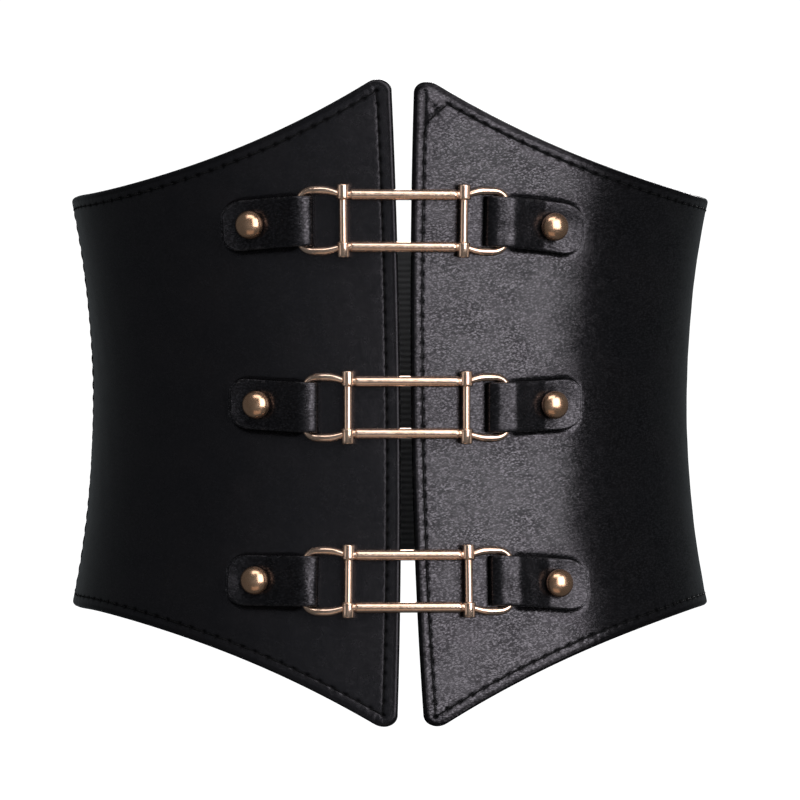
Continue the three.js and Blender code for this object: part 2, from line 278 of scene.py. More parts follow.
# The outside of a tab's fold, as shares of how far it leads and of its crest's height
NOSE_LINE = [(0.62, 0.96), (0.3, 0.86), (0.03, 0.64), (0, 0.42), (0.12, 0.2)]
NOSE_UNDER = 0.4
CREST_BEYOND = 1.4

TAB_STACK = LAY_GAP + 2 * TAB_LEATHER
BAR_LIFT = 2 * LAY_GAP + TAB_LEATHER + WIRE_DIAMETER / 2
CREST_HEIGHT = BAR_LIFT + WIRE_DIAMETER / 2 + LAY_GAP + TAB_LEATHER
BOW_HALF_HEIGHT = TAB_WIDTH / 2 + WIRE_GAP + WIRE_DIAMETER / 2
BAND_OUTER = -LEATHER_WALL - BAND_GAP
BAND_INNER = BAND_OUTER - BAND_WALL


# Waist loop

def loop_point(angle, z):
    flare = (z / FLARE_HEIGHT) ** 2
    across = np.abs(np.sin(angle) / (WAIST_WIDTH / 2 + SIDE_FLARE * flare)) ** LOOP_SQUARENESS
    along = np.abs(np.cos(angle) / (WAIST_DEPTH / 2 + FRONT_FLARE * flare)) ** LOOP_SQUARENESS
    prow = PROW_RISE * np.exp(-np.abs(angle) * WAIST_DEPTH / 2 / PROW_LENGTH)
    radius = (across + along) ** (-1 / LOOP_SQUARENESS) + prow
    return np.stack([radius * np.sin(angle), -radius * np.cos(angle), z + 0 * angle], -1)


def reached(line):
    """How far along a line each of its points is."""
    return np.concatenate([[0], np.cumsum(np.linalg.norm(np.diff(line, axis=0), axis=1))])


ARC_ANGLES = np.linspace(0, 2 * math.pi, ARC_STEPS + 1)
ARC_LENGTHS = reached(loop_point(ARC_ANGLES, 0))
WAIST_LENGTH = ARC_LENGTHS[-1]


def waist_point(length, z):
    angle = np.sign(length) * np.interp(np.abs(length), ARC_LENGTHS, ARC_ANGLES)
    return loop_point(angle, z)


def outward(length, z):
    small = 0.5
    along = waist_point(length + small, z) - waist_point(length - small, z)
    up = waist_point(length, z + small) - waist_point(length, z - small)
    across = np.cross(along, up)
    return across / np.linalg.norm(across, axis=-1, keepdims=True)


def on_body(length, z, out):
    length, z, out = np.broadcast_arrays(*(np.asarray(value, float) for value in (length, z, out)))
    return waist_point(length, z) + outward(length, z) * out[..., None]


RIDGE_RISE = on_body(POST_SPACING / 2, 0, 0)[1] - on_body(FRONT_GAP / 2, 0, 0)[1]
POST_LIFT = RIDGE_RISE + ROD_GAP + ROD_DIAMETER / 2


# Lines and unevenness

def smoothstep(low, high, value):
    share = np.clip((value - low) / (high - low), 0, 1)
    return share * share * (3 - 2 * share)


def ripples(along, up, wave, seed, count=7):
    """Made-up unevenness of about -1 to 1, with waves of about one length."""
    draw = np.random.default_rng(seed)
    total = 0
    for _ in range(count):
        turn = draw.uniform(0, math.pi)
        size = wave * draw.uniform(0.7, 1.6)
        run = along * math.cos(turn) + up * math.sin(turn)
        total = total + np.sin(2 * math.pi * (run / size + draw.uniform(0, 1)))
    return total / math.sqrt(count)


def bell(gap, width):
    """1 at no gap, falling smoothly to almost 0 at twice the width."""
    return np.exp(-((gap / width) ** 2))


def nearest(points, line):
    """How far points are from a line of straight pieces, and how far along the nearest place is."""
    away = np.full(len(points), np.inf)
    place = np.zeros(len(points))
    passed = 0
    for start, end in zip(line[:-1], line[1:]):
        step = end - start
        size = np.linalg.norm(step)
        share = np.clip((points - start) @ step / size**2, 0, 1)
        gap = np.linalg.norm(points - start - share[:, None] * step, axis=1)
        closer = gap < away
        away = np.where(closer, gap, away)
        place = np.where(closer, passed + share * size, place)
        passed += size
    return away, place


def within(points, ring):
    """True for the points inside a closed ring of straight pieces."""
    inside = np.zeros(len(points), bool)
    for (x0, y0), (x1, y1) in zip(ring[:-1], ring[1:]):
        if y0 == y1:
            continue
        crosses = (y0 > points[:, 1]) != (y1 > points[:, 1])
        inside ^= crosses & (points[:, 0] < x0 + (points[:, 1] - y0) * (x1 - x0) / (y1 - y0))
    return inside


def headings(line):
    """The direction of a line at each of its points."""
    run = np.gradient(line, axis=0)
    return run / np.linalg.norm(run, axis=1, keepdims=True)


def even_steps(line, step):
    """Places on a line, the same step apart as near as the line's length allows."""
    along = reached(line)
    wanted = np.linspace(0, along[-1], max(1, round(along[-1] / step)) + 1)
    return np.column_stack([np.interp(wanted, along, line[:, i]) for i in range(line.shape[1])])


def spline(points, steps):
    """A smooth curve through the points, with even steps between neighbours."""
    points = np.asarray(points, float)
    padded = np.vstack([points[0], points, points[-1]])
    share = np.linspace(0, 1, steps, endpoint=False)[:, None]
    parts = []
    for a, b, c, d in zip(padded[:-3], padded[1:-2], padded[2:-1], padded[3:]):
        bend = (2 * a - 5 * b + 4 * c - d) * share**2 + (3 * b - a - 3 * c + d) * share**3
        parts.append(b + 0.5 * ((c - a) * share + bend))
    return np.vstack([*parts, points[-1:]])


def graded(size, edge, fine, coarse):
    """Shares of a size for grid lines that lie close together near both ends."""
    near = np.arange(0, edge, fine)
    middle = np.linspace(edge, size - edge, round((size - 2 * edge) / coarse) + 1)
    return np.concatenate([near, middle, size - near[::-1]]) / size


# Meshes

# Each flat pattern has its own depth, so that no two pieces have the same grain
PANEL_LAYER = 40
BAND_LAYER = 90
TAB_LAYER = 60


def new_object(name, data):
    made = bpy.data.objects.new(name, data)
    bpy.context.scene.collection.objects.link(made)
    return made


def make_piece(name, points, faces, cut=None, marks=None, inner_faces=0, sharp=None):
    """A mesh object from points in millimetres. Its last inner_faces faces take the second
    material. The cut holds places in the flat pattern. The marks are how far each point is from
    an edge, and how much painted shade it has in a seam."""
    mesh = bpy.data.meshes.new(name)
    mesh.from_pydata((np.asarray(points) * MM).tolist(), [], faces)
    if cut is not None:
        layer = mesh.attributes.new("cut", "FLOAT_VECTOR", "POINT")
        layer.data.foreach_set("vector", np.asarray(cut, np.float32).ravel())
    if marks is not None:
        for mark, values in zip(("edge", "seam"), marks.T):
            layer = mesh.attributes.new(mark, "FLOAT", "POINT")
            layer.data.foreach_set("value", np.ascontiguousarray(values, np.float32))
    looks = np.zeros(len(faces), np.int32)
    if inner_faces:
        looks[-inner_faces:] = 1
    mesh.polygons.foreach_set("material_index", looks)
    mesh.shade_smooth()
    if sharp is not None:
        mesh.set_sharp_from_angle(angle=math.radians(sharp))
    mesh.validate()
    mesh.update()
    return new_object(name, mesh)


def signed_volume(points, faces):
    corners = points[np.asarray(faces)[:, :3]]
    return np.einsum("ij,ij->i", corners[:, 0], np.cross(corners[:, 1], corners[:, 2])).sum()


def shell(name, columns, heights, rim, place, rim_steps=6):
    """A closed wall that follows a grid, with a rounded rim all round.
    place(column, height, inset, share) gives points, flat pattern places and marks, with share 0
    on the outer face and 1 on the inner one."""
    wide, tall = len(columns), len(heights)
    grid_columns, grid_heights = np.tile(columns, tall), np.repeat(heights, wide)
    border = [(i, 0) for i in range(wide - 1)]
    border += [(wide - 1, j) for j in range(tall - 1)]
    border += [(i, tall - 1) for i in range(wide - 1, 0, -1)]
    border += [(0, j) for j in range(tall - 1, 0, -1)]
    border = np.array([j * wide + i for i, j in border])
    sets = [(grid_columns, grid_heights, rim, 0.0)]
    for step in range(1, rim_steps):
        turn = math.pi * step / rim_steps
        inset = rim * (1 - math.sin(turn))
        sets.append((grid_columns[border], grid_heights[border], inset, (1 - math.cos(turn)) / 2))
    sets.append((grid_columns, grid_heights, rim, 1.0))
    placed = [place(*one) for one in sets]
    points, cut, marks = (np.concatenate([one[i] for one in placed]) for i in range(3))
    starts = np.cumsum([0] + [len(one[0]) for one in placed])
    corner = (np.arange(tall - 1)[:, None] * wide + np.arange(wide - 1)).ravel()
    outer = np.column_stack([corner, corner + 1, corner + wide + 1, corner + wide])
    inner = outer[:, ::-1] + starts[-2]
    rings = [border]
    rings += [start + np.arange(len(border)) for start in starts[1:rim_steps]]
    rings += [border + starts[-2]]
    sides = []
    for here, there in zip(rings[:-1], rings[1:]):
        sides.append(np.column_stack([here, there, np.roll(there, -1), np.roll(here, -1)]))
    faces = np.vstack([outer, *sides, inner])
    if signed_volume(points, faces) < 0:
        faces = faces[:, ::-1]
    return make_piece(name, points, faces.tolist(), cut, marks, inner_faces=len(inner))


def tube_faces(first, count, sides):
    """Faces of a tube with flat ends, whose rings of points follow each other."""
    faces = []
    for ring in range(count - 1):
        here = first + ring * sides
        for i in range(sides):
            j = (i + 1) % sides
            faces.append([here + i, here + j, here + sides + j, here + sides + i])
    last = first + (count - 1) * sides
    faces.append([first + i for i in reversed(range(sides))])
    faces.append([last + i for i in range(sides)])
    return faces


def tube_rings(line, radii, sides, start_normal):
    """Rings of points round a line, without twist, one ring for each of its points."""
    turn = 2 * math.pi * np.arange(sides) / sides
    normal = np.asarray(start_normal, float)
    rings = []
    for point, ahead, radius in zip(line, headings(line), radii):
        normal = normal - ahead * (normal @ ahead)
        normal = normal / np.linalg.norm(normal)
        across = np.cross(ahead, normal)
        circle = np.cos(turn)[:, None] * normal + np.sin(turn)[:, None] * across
        rings.append(point + radius * circle)
    return np.vstack(rings)


ASKEW = [0.3, 0.5, 0.8]


def turned(start, axis, profile, sides):
    """Rings for a turned form: the profile holds distances along the axis and radii."""
    profile = np.asarray(profile, float)
    axis = axis / np.linalg.norm(axis)
    side = np.cross(axis, ASKEW)
    side /= np.linalg.norm(side)
    across = np.cross(axis, side)
    turn = 2 * math.pi * np.arange(sides) / sides
    circle = np.cos(turn)[:, None] * side + np.sin(turn)[:, None] * across
    middles = np.asarray(start) + profile[:, :1] * axis
    return (middles[:, None, :] + profile[:, 1][:, None, None] * circle).reshape(-1, 3)


class Parts:
    """Gathers the rings of several tubes into one mesh."""

    def __init__(self):
        self.points = []
        self.faces = []
        self.cut = []
        self.count = 0

    def add(self, rings, sides, cut=None):
        self.faces += tube_faces(self.count, len(rings) // sides, sides)
        self.points.append(rings)
        self.cut.append(np.zeros((len(rings), 3)) if cut is None else cut)
        self.count += len(rings)

    def piece(self, name, sharp=None):
        points, cut = np.vstack(self.points), np.vstack(self.cut)
        return make_piece(name, points, self.faces, cut, sharp=sharp)


# Leather panels

def front_edge(z, side):
    end = np.where(z > 0, FRONT_GAP_TOP, FRONT_GAP_BOTTOM)
    gap = FRONT_GAP + (end - FRONT_GAP) * (z / TIP_HEIGHT) ** 2
    return gap / 2 - side["hand"] * GAP_LEAN * z


def edge_share(along, power):
    """How much of the tip's extra height is left at a share of the panel's length."""
    return np.maximum(0, 1 - along * PANEL_REACH / SWEEP_LENGTH) ** power


def top_edge(along, side):
    tip = TIP_HEIGHT * (1 + side["tip_rise"])
    return SIDE_HEIGHT_UP + (tip - SIDE_HEIGHT_UP) * edge_share(along, TOP_SWEEP_POWER)


def bottom_edge(along):
    extra = (TIP_HEIGHT - SIDE_HEIGHT_DOWN) * edge_share(along, BOTTOM_SWEEP_POWER)
    return -(SIDE_HEIGHT_DOWN + extra)


def rounded_corner(from_end, from_edge, radius, roundness):
    """Distances from an end and an edge, moved in so that their corner is round."""
    a = np.clip(1 - from_end / radius, 0, None)
    b = np.clip(1 - from_edge / radius, 0, None)
    near = (a > 0) & (b > 0)
    total = np.where(near, (a**roundness + b**roundness) ** (1 / roundness), 1)
    pull = np.where(near, np.maximum(a, b) / total, 1)
    return (np.where(near, radius * (1 - a * pull), from_end),
            np.where(near, radius * (1 - b * pull), from_edge))


def panel_place(along, up, inset, side):
    """Length and height of a place on a panel, given as shares of its length and height."""
    high = top_edge(along, side) - inset
    low = bottom_edge(along) + inset
    square_z = low + (high - low) * up
    front = front_edge(square_z, side) + inset
    back = PANEL_REACH - inset
    square_length = front + (back - front) * along
    near_front = square_length - front < back - square_length
    near_top = high - square_z < square_z - low
    from_end, from_edge = rounded_corner(
        np.where(near_front, square_length - front, back - square_length),
        np.where(near_top, high - square_z, square_z - low),
        np.where(near_front, TIP_ROUNDING, END_ROUNDING),
        np.where(near_front, TIP_ROUNDNESS, END_ROUNDNESS),
    )
    length = np.where(near_front, front + from_end, back - from_end)
    moved = (length - front) / (back - front)
    above = top_edge(moved, side) - inset - from_edge
    below = bottom_edge(moved) + inset + from_edge
    return length, np.where(near_top, above, below)


def panel_outline(side):
    share = np.linspace(0, 1, OUTLINE_STEPS)
    flat, full = np.zeros_like(share), np.ones_like(share)
    edges = [(share, flat), (full, share), (share[::-1], full), (flat, share[::-1])]
    return np.vstack([np.column_stack(panel_place(along, up, 0.0, side)) for along, up in edges])


def slanted_seam(along, edge_height, inwards, side):
    """The seam that runs along a slanted edge, moved in from it at a right angle."""
    front = front_edge(edge_height, side)
    line = np.column_stack([front + (PANEL_REACH - front) * along, edge_height])
    run = headings(line)
    line = line + SEAM_FROM_EDGE * inwards * np.column_stack([-run[:, 1], run[:, 0]])
    start = front_edge(line[:, 1], side) + SEAM_FROM_FRONT[side["name"]]
    if side["hand"] > 0 and inwards < 0:
        start = np.maximum(start, CUT_SEAM_LENGTH)
    keep = (line[:, 0] >= start) & (line[:, 0] <= PANEL_REACH - SEAM_FROM_END)
    return line[keep]


def panel_seam(side):
    """The line of stitches round a panel, closed. Its first points go up the front."""
    along = np.linspace(0, 1, SEAM_STEPS)
    top = slanted_seam(along, top_edge(along, side), -1, side)
    bottom = slanted_seam(along, bottom_edge(along), 1, side)
    highest = CUT_SEAM_HEIGHT if side["hand"] > 0 else top[0, 1]
    heights = np.linspace(bottom[0, 1], highest, FRONT_SEAM_STEPS)
    lengths = front_edge(heights, side) + SEAM_FROM_FRONT[side["name"]]
    front = np.column_stack([lengths, heights])
    return np.vstack([front, top, bottom[::-1], front[:1]])


def band_seam():
    """The second line of stitches that holds the elastic band."""
    reach = BAND_HEIGHT / 2 - SELVEDGE
    heights = np.array([reach, -reach])
    return np.column_stack([np.full(2, PANEL_REACH - BAND_SEAM_FROM_END), heights])


def stud_centre(row, side):
    length = row_length(row, side, STUD_FROM_POST) * side["hand"]
    return length, row["height"] * ROW_PITCH + tab_drift(row, side, STUD_FROM_POST)


def tab_print(length, z, row, side):
    """1 where a tab lies on the panel, falling off round it, and wider below than above."""
    reach = length - row_length(row, side, 0) * side["hand"]
    across = z - row["height"] * ROW_PITCH - tab_drift(row, side, reach)
    end = STUD_FROM_POST + side["end_reach"] * TAB_WIDTH
    past = np.maximum(0, reach - (end - TAB_END_RADIUS))
    half = TAB_WIDTH / 2 - TAB_END_RADIUS + np.sqrt(np.maximum(0.1, TAB_END_RADIUS**2 - past**2))
    share = smoothstep(BOW_REACH, BOW_REACH + PRINT_RUN_IN, reach)
    for edge, (outer, inner), place in ((end, PRINT_AT_END, reach), (half, PRINT_ABOVE, across),
                                        (half, PRINT_BELOW, -across)):
        share = share * smoothstep(edge + outer, edge + inner, place)
    return share


def seam_holes(place, line):
    """Near 1 at the needle holes of a seam, and 0 between them."""
    size = reached(line)[-1]
    pitch = size / round(size / STITCH_PITCH)
    return (0.5 + 0.5 * np.cos(2 * math.pi * place / pitch)) ** HOLE_SHARPNESS


def panel_relief(length, z, side, outline, seam):
    """How far the outer face stands out from its plain form, and its marks: the distance to the
    rim, and painted shade in the seams.
    """
    points = np.column_stack([length, z])
    rim = nearest(points, outline)[0]
    away, place = nearest(points, seam)
    holes = seam_holes(place, seam)
    strip = ~within(points, seam)
    crown = np.sin(math.pi * rim / (rim + away + 1e-6)) ** STRIP_CROWN * strip
    seed = PANEL_SEED + side["hand"]
    sway = WRINKLE_SWAY * ripples(place, rim, WRINKLE_WAVE, seed)
    wrinkles = np.sin(2 * math.pi * place / WRINKLE_PITCH + sway)
    relief = STRIP_PUFF * crown + WRINKLE_HEIGHT * wrinkles * crown
    relief -= GROOVE_DEPTH * bell(away, GROOVE_WIDTH)
    relief -= SEAM_SINK * np.exp(-away / SEAM_SINK_WIDTH) * ~strip
    relief -= HOLE_DEPTH * holes * bell(away, HOLE_WIDTH)
    sag = SAG_HEIGHT * ripples(length, z, SAG_WAVE, seed + 10)
    relief += sag + LUMP_HEIGHT * ripples(length, z, LUMP_WAVE, seed + 20)
    for row in ROWS:
        centre = stud_centre(row, side)
        gap = np.hypot(length - centre[0], z - centre[1])
        relief -= PANEL_DENT_SHARE * STUD_DENT * bell(gap, DENT_RADIUS * PANEL_DENT_SPREAD)
        relief -= TAB_PRESS * tab_print(length, z, row, side)
    second, second_place = nearest(points, band_seam())
    second_groove = bell(second, BAND_GROOVE_WIDTH)
    second_holes = seam_holes(second_place, band_seam()) * bell(second, BAND_HOLE_WIDTH)
    relief -= GROOVE_DEPTH * second_groove + HOLE_DEPTH * second_holes
    # Painted shade: dark marks along the seam's groove, in its needle holes, along the band's seam
    # and, on the right panel, along the corner's run-up line.
    dark = SEAM_DARK * bell(away, SEAM_DARK_WIDTH)
    dark += HOLE_DARK * holes * bell(away, HOLE_DARK_WIDTH) + second_groove
    if side["hand"] > 0:
        crease = nearest(points, np.array(CORNER_CREASE))[0]
        relief += CREASE_HEIGHT * bell(crease, CREASE_WIDTH)
        corner = seam[FRONT_SEAM_STEPS - 1]
        run_up = nearest(points, np.array([corner, [corner[0], RUN_UP_HEIGHT]]))[0]
        relief -= RUN_UP_DEPTH * bell(run_up, RUN_UP_WIDTH)
        dark += RUN_UP_DARK * bell(run_up, RUN_UP_WIDTH)
    return relief, np.column_stack([rim, np.minimum(dark, 1)])


def leather_panel(side):
    outline, seam = panel_outline(side), panel_seam(side)
    columns = graded(PANEL_REACH - FRONT_GAP / 2, *PANEL_GRID)
    heights = graded(SIDE_HEIGHT_UP + TIP_HEIGHT, *PANEL_GRID)

    def place(along, up, inset, share):
        length, z = panel_place(along, up, inset, side)
        if share < 0.5:
            relief, marks = panel_relief(length, z, side, outline, seam)
            relief = relief * (1 - 2 * share)
        else:
            rim = nearest(np.column_stack([length, z]), outline)[0]
            relief, marks = 0, np.column_stack([rim, np.zeros_like(rim)])
        cut = np.column_stack([length, z, np.full_like(z, PANEL_LAYER * side["hand"])])
        return on_body(side["hand"] * length, z, relief - LEATHER_WALL * share), cut, marks

    piece = shell(f"leather_panel_{side['name']}", columns, heights, RIM_ROUNDING, place)
    return piece


# Elastic back band

def elastic_band():
    start = PANEL_REACH - BAND_TUCK
    span = WAIST_LENGTH - 2 * start
    columns = np.linspace(0, 1, BAND_COLUMNS)
    heights = np.linspace(-1, 1, round(BAND_HEIGHT / BAND_GRID) + 1)

    def place(along, up, inset, share):
        length = start + inset + (span - 2 * inset) * along
        z = (BAND_HEIGHT / 2 - inset) * up
        from_edge = BAND_HEIGHT / 2 - np.abs(z)
        pitch = np.where(from_edge < SELVEDGE, RIB_PITCH / 2, RIB_PITCH)
        ribs = RIB_HEIGHT * (pitch / RIB_PITCH) * np.cos(2 * math.pi * (z - RIB_PITCH / 2) / pitch)
        ribs += BAND_SAG * ripples(length, z, BAND_SAG_WAVE, BAND_SEED)
        from_front = np.minimum(length, WAIST_LENGTH - length)
        pressed = bell(from_front - PANEL_REACH + BAND_SEAM_FROM_END, BAND_PRESS_WIDTH)
        free = smoothstep(RIBS_RISE_FROM, RIBS_RISE_TO, from_front - PANEL_REACH)
        relief = ribs * (TUCKED_RIBS + (1 - TUCKED_RIBS) * free) - BAND_PRESS * pressed
        relief = relief * (1 - 2 * share)
        cut = np.column_stack([length, z, np.full_like(z, BAND_LAYER)])
        marks = np.column_stack([from_edge, pressed])
        return on_body(length, z, BAND_OUTER - BAND_WALL * share + relief), cut, marks

    piece = shell("elastic_back_band", columns, heights, BAND_RIM, place, rim_steps=4)
    return piece


# Stitches

def inner_face(length, z):
    """Where the inside is: on the elastic where it is tucked in, and otherwise on the leather."""
    on_band = (length > PANEL_REACH - BAND_TUCK) & (np.abs(z) < BAND_HEIGHT / 2)
    return np.where(on_band, BAND_INNER, -LEATHER_WALL)


def add_stitches(parts, line, side, inside):
    holes = even_steps(line, STITCH_PITCH)
    share = np.linspace(0, 1, THREAD_STEPS)
    arch = np.sin(math.pi * share)
    inward = STITCH_SPACE / 2 / STITCH_PITCH
    radii = THREAD_DIAMETER / 2 * (1 - THREAD_TAPER + THREAD_TAPER * arch**THREAD_ROUNDNESS)
    turn = np.tile(np.arange(THREAD_SIDES) / THREAD_SIDES, THREAD_STEPS)
    run = np.repeat(share * STITCH_PITCH, THREAD_SIDES)
    cut = np.column_stack([run, turn, np.zeros_like(run)])
    for a, b in zip(holes[:-1], holes[1:]):
        path = a + (b - a) * (inward + (1 - 2 * inward) * share)[:, None]
        if inside:
            start = inner_face(path[:, 0], path[:, 1]) + INSIDE_START
            out = start - INSIDE_RISE * arch**STITCH_BEND
        else:
            out = -GROOVE_DEPTH - HOLE_DEPTH + STITCH_RISE * arch**STITCH_BEND
        middle = on_body(side["hand"] * path[:, 0], path[:, 1], out)
        normal = outward(side["hand"] * path[:1, 0], path[:1, 1])[0]
        parts.add(tube_rings(middle, radii, THREAD_SIDES, normal), THREAD_SIDES, cut)


def stitching(side):
    parts = Parts()
    for line in (panel_seam(side), band_seam()):
        for inside in (False, True):
            add_stitches(parts, line, side, inside)
    return parts.piece(f"thread_{side['name']}")


# Places along a row. A reach counts outwards from the row's post on that side.

def row_length(row, side, reach):
    return row["shift"] * POST_SPACING + side["hand"] * (POST_SPACING / 2 + reach)


def row_point(row, side, reach, rise, out):
    return on_body(row_length(row, side, reach), row["height"] * ROW_PITCH + rise, out)


def tab_drift(row, side, reach):
    start = BOW_REACH - TAB_WIDTH / 4
    share = np.maximum(0, (reach - start) / (STUD_FROM_POST - start))
    return row["rise"][side["name"]] * TAB_WIDTH * share**DRIFT_POWER


# Cast links

def add_rod(parts, row, rise):
    left, right = (row_point(row, side, 0, rise, POST_LIFT) for side in SIDES)
    length = np.linalg.norm(right - left)
    radius, start = ROD_DIAMETER / 2, COLLAR_DIAMETER / 2
    half = [(0, radius * NECK_SHARE), (start + NECK_START, radius * NECK_SHARE)]
    half += [(start + along, radius * share) for along, share in ROD_END]
    profile = half + [(length - along, size) for along, size in reversed(half)]
    parts.add(turned(left, right - left, profile, LINK_SIDES), LINK_SIDES)


def add_post(parts, row, side):
    low, high = (row_point(row, side, 0, rise, POST_LIFT)
                 for rise in (-ROD_SPACING / 2, ROD_SPACING / 2))
    size = np.linalg.norm(high - low)
    radius = POST_DIAMETER / 2
    parts.add(turned(low, high - low, [(0, radius), (size, radius)], POST_SIDES), POST_SIDES)
    profile = [(along if along >= 0 else COLLAR_LENGTH + along, COLLAR_DIAMETER / 2 + past)
               for along, past in COLLAR_FORM]
    profile.append((COLLAR_LENGTH, radius + COLLAR_LIP))
    up = (high - low) / size
    beyond = COLLAR_LENGTH * COLLAR_BEYOND
    for foot, way in ((low - up * beyond, up), (high + up * beyond, -up)):
        parts.add(turned(foot, way, profile, LINK_SIDES), LINK_SIDES)


def add_bow(parts, row, side):
    def branch(way):
        return [[*row_point(row, side, reach * BOW_REACH, way * height * BOW_HALF_HEIGHT,
                            POST_LIFT + (BAR_LIFT - POST_LIFT) * sink),
                 thickness * WIRE_DIAMETER / 2] for reach, height, sink, thickness in BOW_LINE]

    line = spline(branch(1) + branch(-1)[::-1], BOW_STEPS)
    front = outward(row_length(row, side, 0), 0.0)
    parts.add(tube_rings(line[:, :3], line[:, 3], WIRE_SIDES, front), WIRE_SIDES)


def gold_link(row):
    parts = Parts()
    for side in SIDES:
        add_post(parts, row, side)
        add_bow(parts, row, side)
    for rise in (-ROD_SPACING / 2, ROD_SPACING / 2):
        add_rod(parts, row, rise)
    return parts.piece(f"gold_link_{row['name']}", sharp=40)


# Folded tabs

def fold_path(side):
    """The middle of a tab's leather, as reach along the row and height off the panel, from the
    end of the upper layer, over the bar, to the end of the lower one."""
    nose = BOW_REACH - side["fold_reach"] * TAB_WIDTH
    lead = BOW_REACH - nose
    flat = BOW_REACH + TAB_SLOPE
    outer = spline([
        (flat, TAB_STACK),
        ((flat + BOW_REACH) / 2, (TAB_STACK + CREST_HEIGHT) / 2),
        (BOW_REACH + CREST_BEYOND, CREST_HEIGHT),
        *((nose + lead * reach, CREST_HEIGHT * height) for reach, height in NOSE_LINE),
        (nose + lead * NOSE_UNDER, LAY_GAP),
        (BOW_REACH, LAY_GAP),
        (flat, LAY_GAP),
    ], FOLD_STEPS)
    run = headings(outer)
    middle = outer + TAB_LEATHER / 2 * np.column_stack([-run[:, 1], run[:, 0]])
    end = STUD_FROM_POST + side["end_reach"] * TAB_WIDTH
    upper = [(end - LAYER_STEP, middle[0, 1])]
    lower = [(end, middle[-1, 1])]
    return even_steps(np.vstack([upper, middle, lower]), FOLD_STEP)


def leather_tab(row, side):
    path = fold_path(side)
    along_path, run = reached(path), headings(path)
    size = along_path[-1]
    ends = TAB_END_RADIUS * (1 - np.cos(np.linspace(0, math.pi / 2, TAB_END_STEPS)))
    straight = size - 2 * TAB_END_RADIUS
    middle = np.linspace(TAB_END_RADIUS, size - TAB_END_RADIUS, round(straight / TAB_COLUMN))
    columns = np.concatenate([ends[:-1], middle, size - ends[:-1][::-1]]) / size
    widths = graded(TAB_WIDTH, *TAB_GRID) * 2 - 1
    seed = TAB_LAYER + 7 * ROWS.index(row) + side["hand"]

    def place(along, width, inset, share):
        distance = inset + (size - 2 * inset) * along
        from_end = np.minimum(distance, size - distance)
        past = np.maximum(0, TAB_END_RADIUS - from_end)
        half = TAB_WIDTH / 2 - TAB_END_RADIUS + np.sqrt(np.maximum(0, TAB_END_RADIUS**2 - past**2))
        half = half - inset
        across = width * half
        reach, out, run_x, run_y = (np.interp(distance, along_path, values)
                                    for values in (*path.T, *run.T))
        away = TAB_LEATHER * (0.5 - share) * LEATHER_SHARE
        reach, out = reach + run_y * away, out - run_x * away
        past_stud = reach - STUD_FROM_POST
        dent = bell(np.hypot(past_stud - DENT_SHIFT, DENT_SQUEEZE * across), DENT_RADIUS)
        beyond = smoothstep(LIFT_START, LIFT_END, past_stud)
        lift = np.hypot(past_stud - DENT_SHIFT, LIFT_SQUEEZE * across) / (TAB_WIDTH / 2)
        side_edge = half - np.abs(across)
        upper = (distance < size * UPPER_SHARE) & (share < 0.5)
        out = out - STUD_DENT * dent + END_LIFT * beyond * np.clip(lift, 0, LIFT_LIMIT) ** 2
        out = out - TAB_EDGE_SINK * np.exp(-side_edge / TAB_EDGE_WIDTH) * (1 - beyond)
        out = out + np.where(upper, TAB_WAVE_HEIGHT * ripples(reach, across, TAB_WAVE, seed), 0)
        rise = tab_drift(row, side, reach) + across
        cut = np.column_stack([distance, across, np.full_like(across, seed)])
        marks = np.column_stack([np.minimum(side_edge, from_end), np.zeros_like(across)])
        return row_point(row, side, reach, rise, out), cut, marks

    name = f"leather_tab_{side['name']}_{row['name']}"
    piece = shell(name, columns, widths, TAB_RIM, place)
    return piece


# Studs

def gold_stud(row, side):
    reach = STUD_FROM_POST
    rise = tab_drift(row, side, reach)
    foot = row_point(row, side, reach, rise, 0.0)
    axis = row_point(row, side, reach, rise, 1.0) - foot
    radius, shank = DOME_DIAMETER / 2, SHANK_DIAMETER / 2
    seat = TAB_STACK + LAY_GAP
    belly = seat + DOME_HEIGHT * DOME_BELLY
    cap_top = -LEATHER_WALL - LAY_GAP
    cap_low = cap_top - BACK_CAP_HEIGHT
    profile = [(cap_low, POLE_RADIUS)]
    profile += [(cap_low + along, BACK_CAP_DIAMETER / 2 + past) for along, past in CAP_FORM]
    profile += [(cap_top, shank), (seat - STUD_DENT - LAY_GAP, shank)]
    for turn in np.radians(np.linspace(-DOME_UNDER_ANGLE, 90, DOME_STEPS)):
        height = (seat + DOME_HEIGHT - belly) if turn > 0 else radius * DOME_UNDER_SHARE
        size = max(POLE_RADIUS, radius * math.cos(turn))
        profile.append((belly + height * math.sin(turn), size))
    parts = Parts()
    parts.add(turned(foot, axis, profile, STUD_SIDES), STUD_SIDES)
    return parts.piece(f"gold_stud_{side['name']}_{row['name']}", sharp=50)


# Materials

LEATHER_IOR = 1.54
LEATHER_TINT = (0.97, 0.9, 1, 1)
LEATHER_BLACK = (0.0048, 0.0048, 0.0056)
LEATHER_WARM = (0.0068, 0.0063, 0.007)
LEATHER_PIT_SHADE = (0.0015, 0.0015, 0.0017)
LEATHER_WORN = (0.03, 0.028, 0.028)
LEATHER_SEAM_SHADE = (0.002, 0.002, 0.0022)
GRAIN_LOW = 0.28
GRAIN_HIGH = 0.68
GRAIN_DEPTH = 0.035
GRAIN_STRETCH = (0.7, 1.15, 1)
GRAIN_TURN = -0.5
GOLD_SPOT = (0.5, 0.28, 0.17)


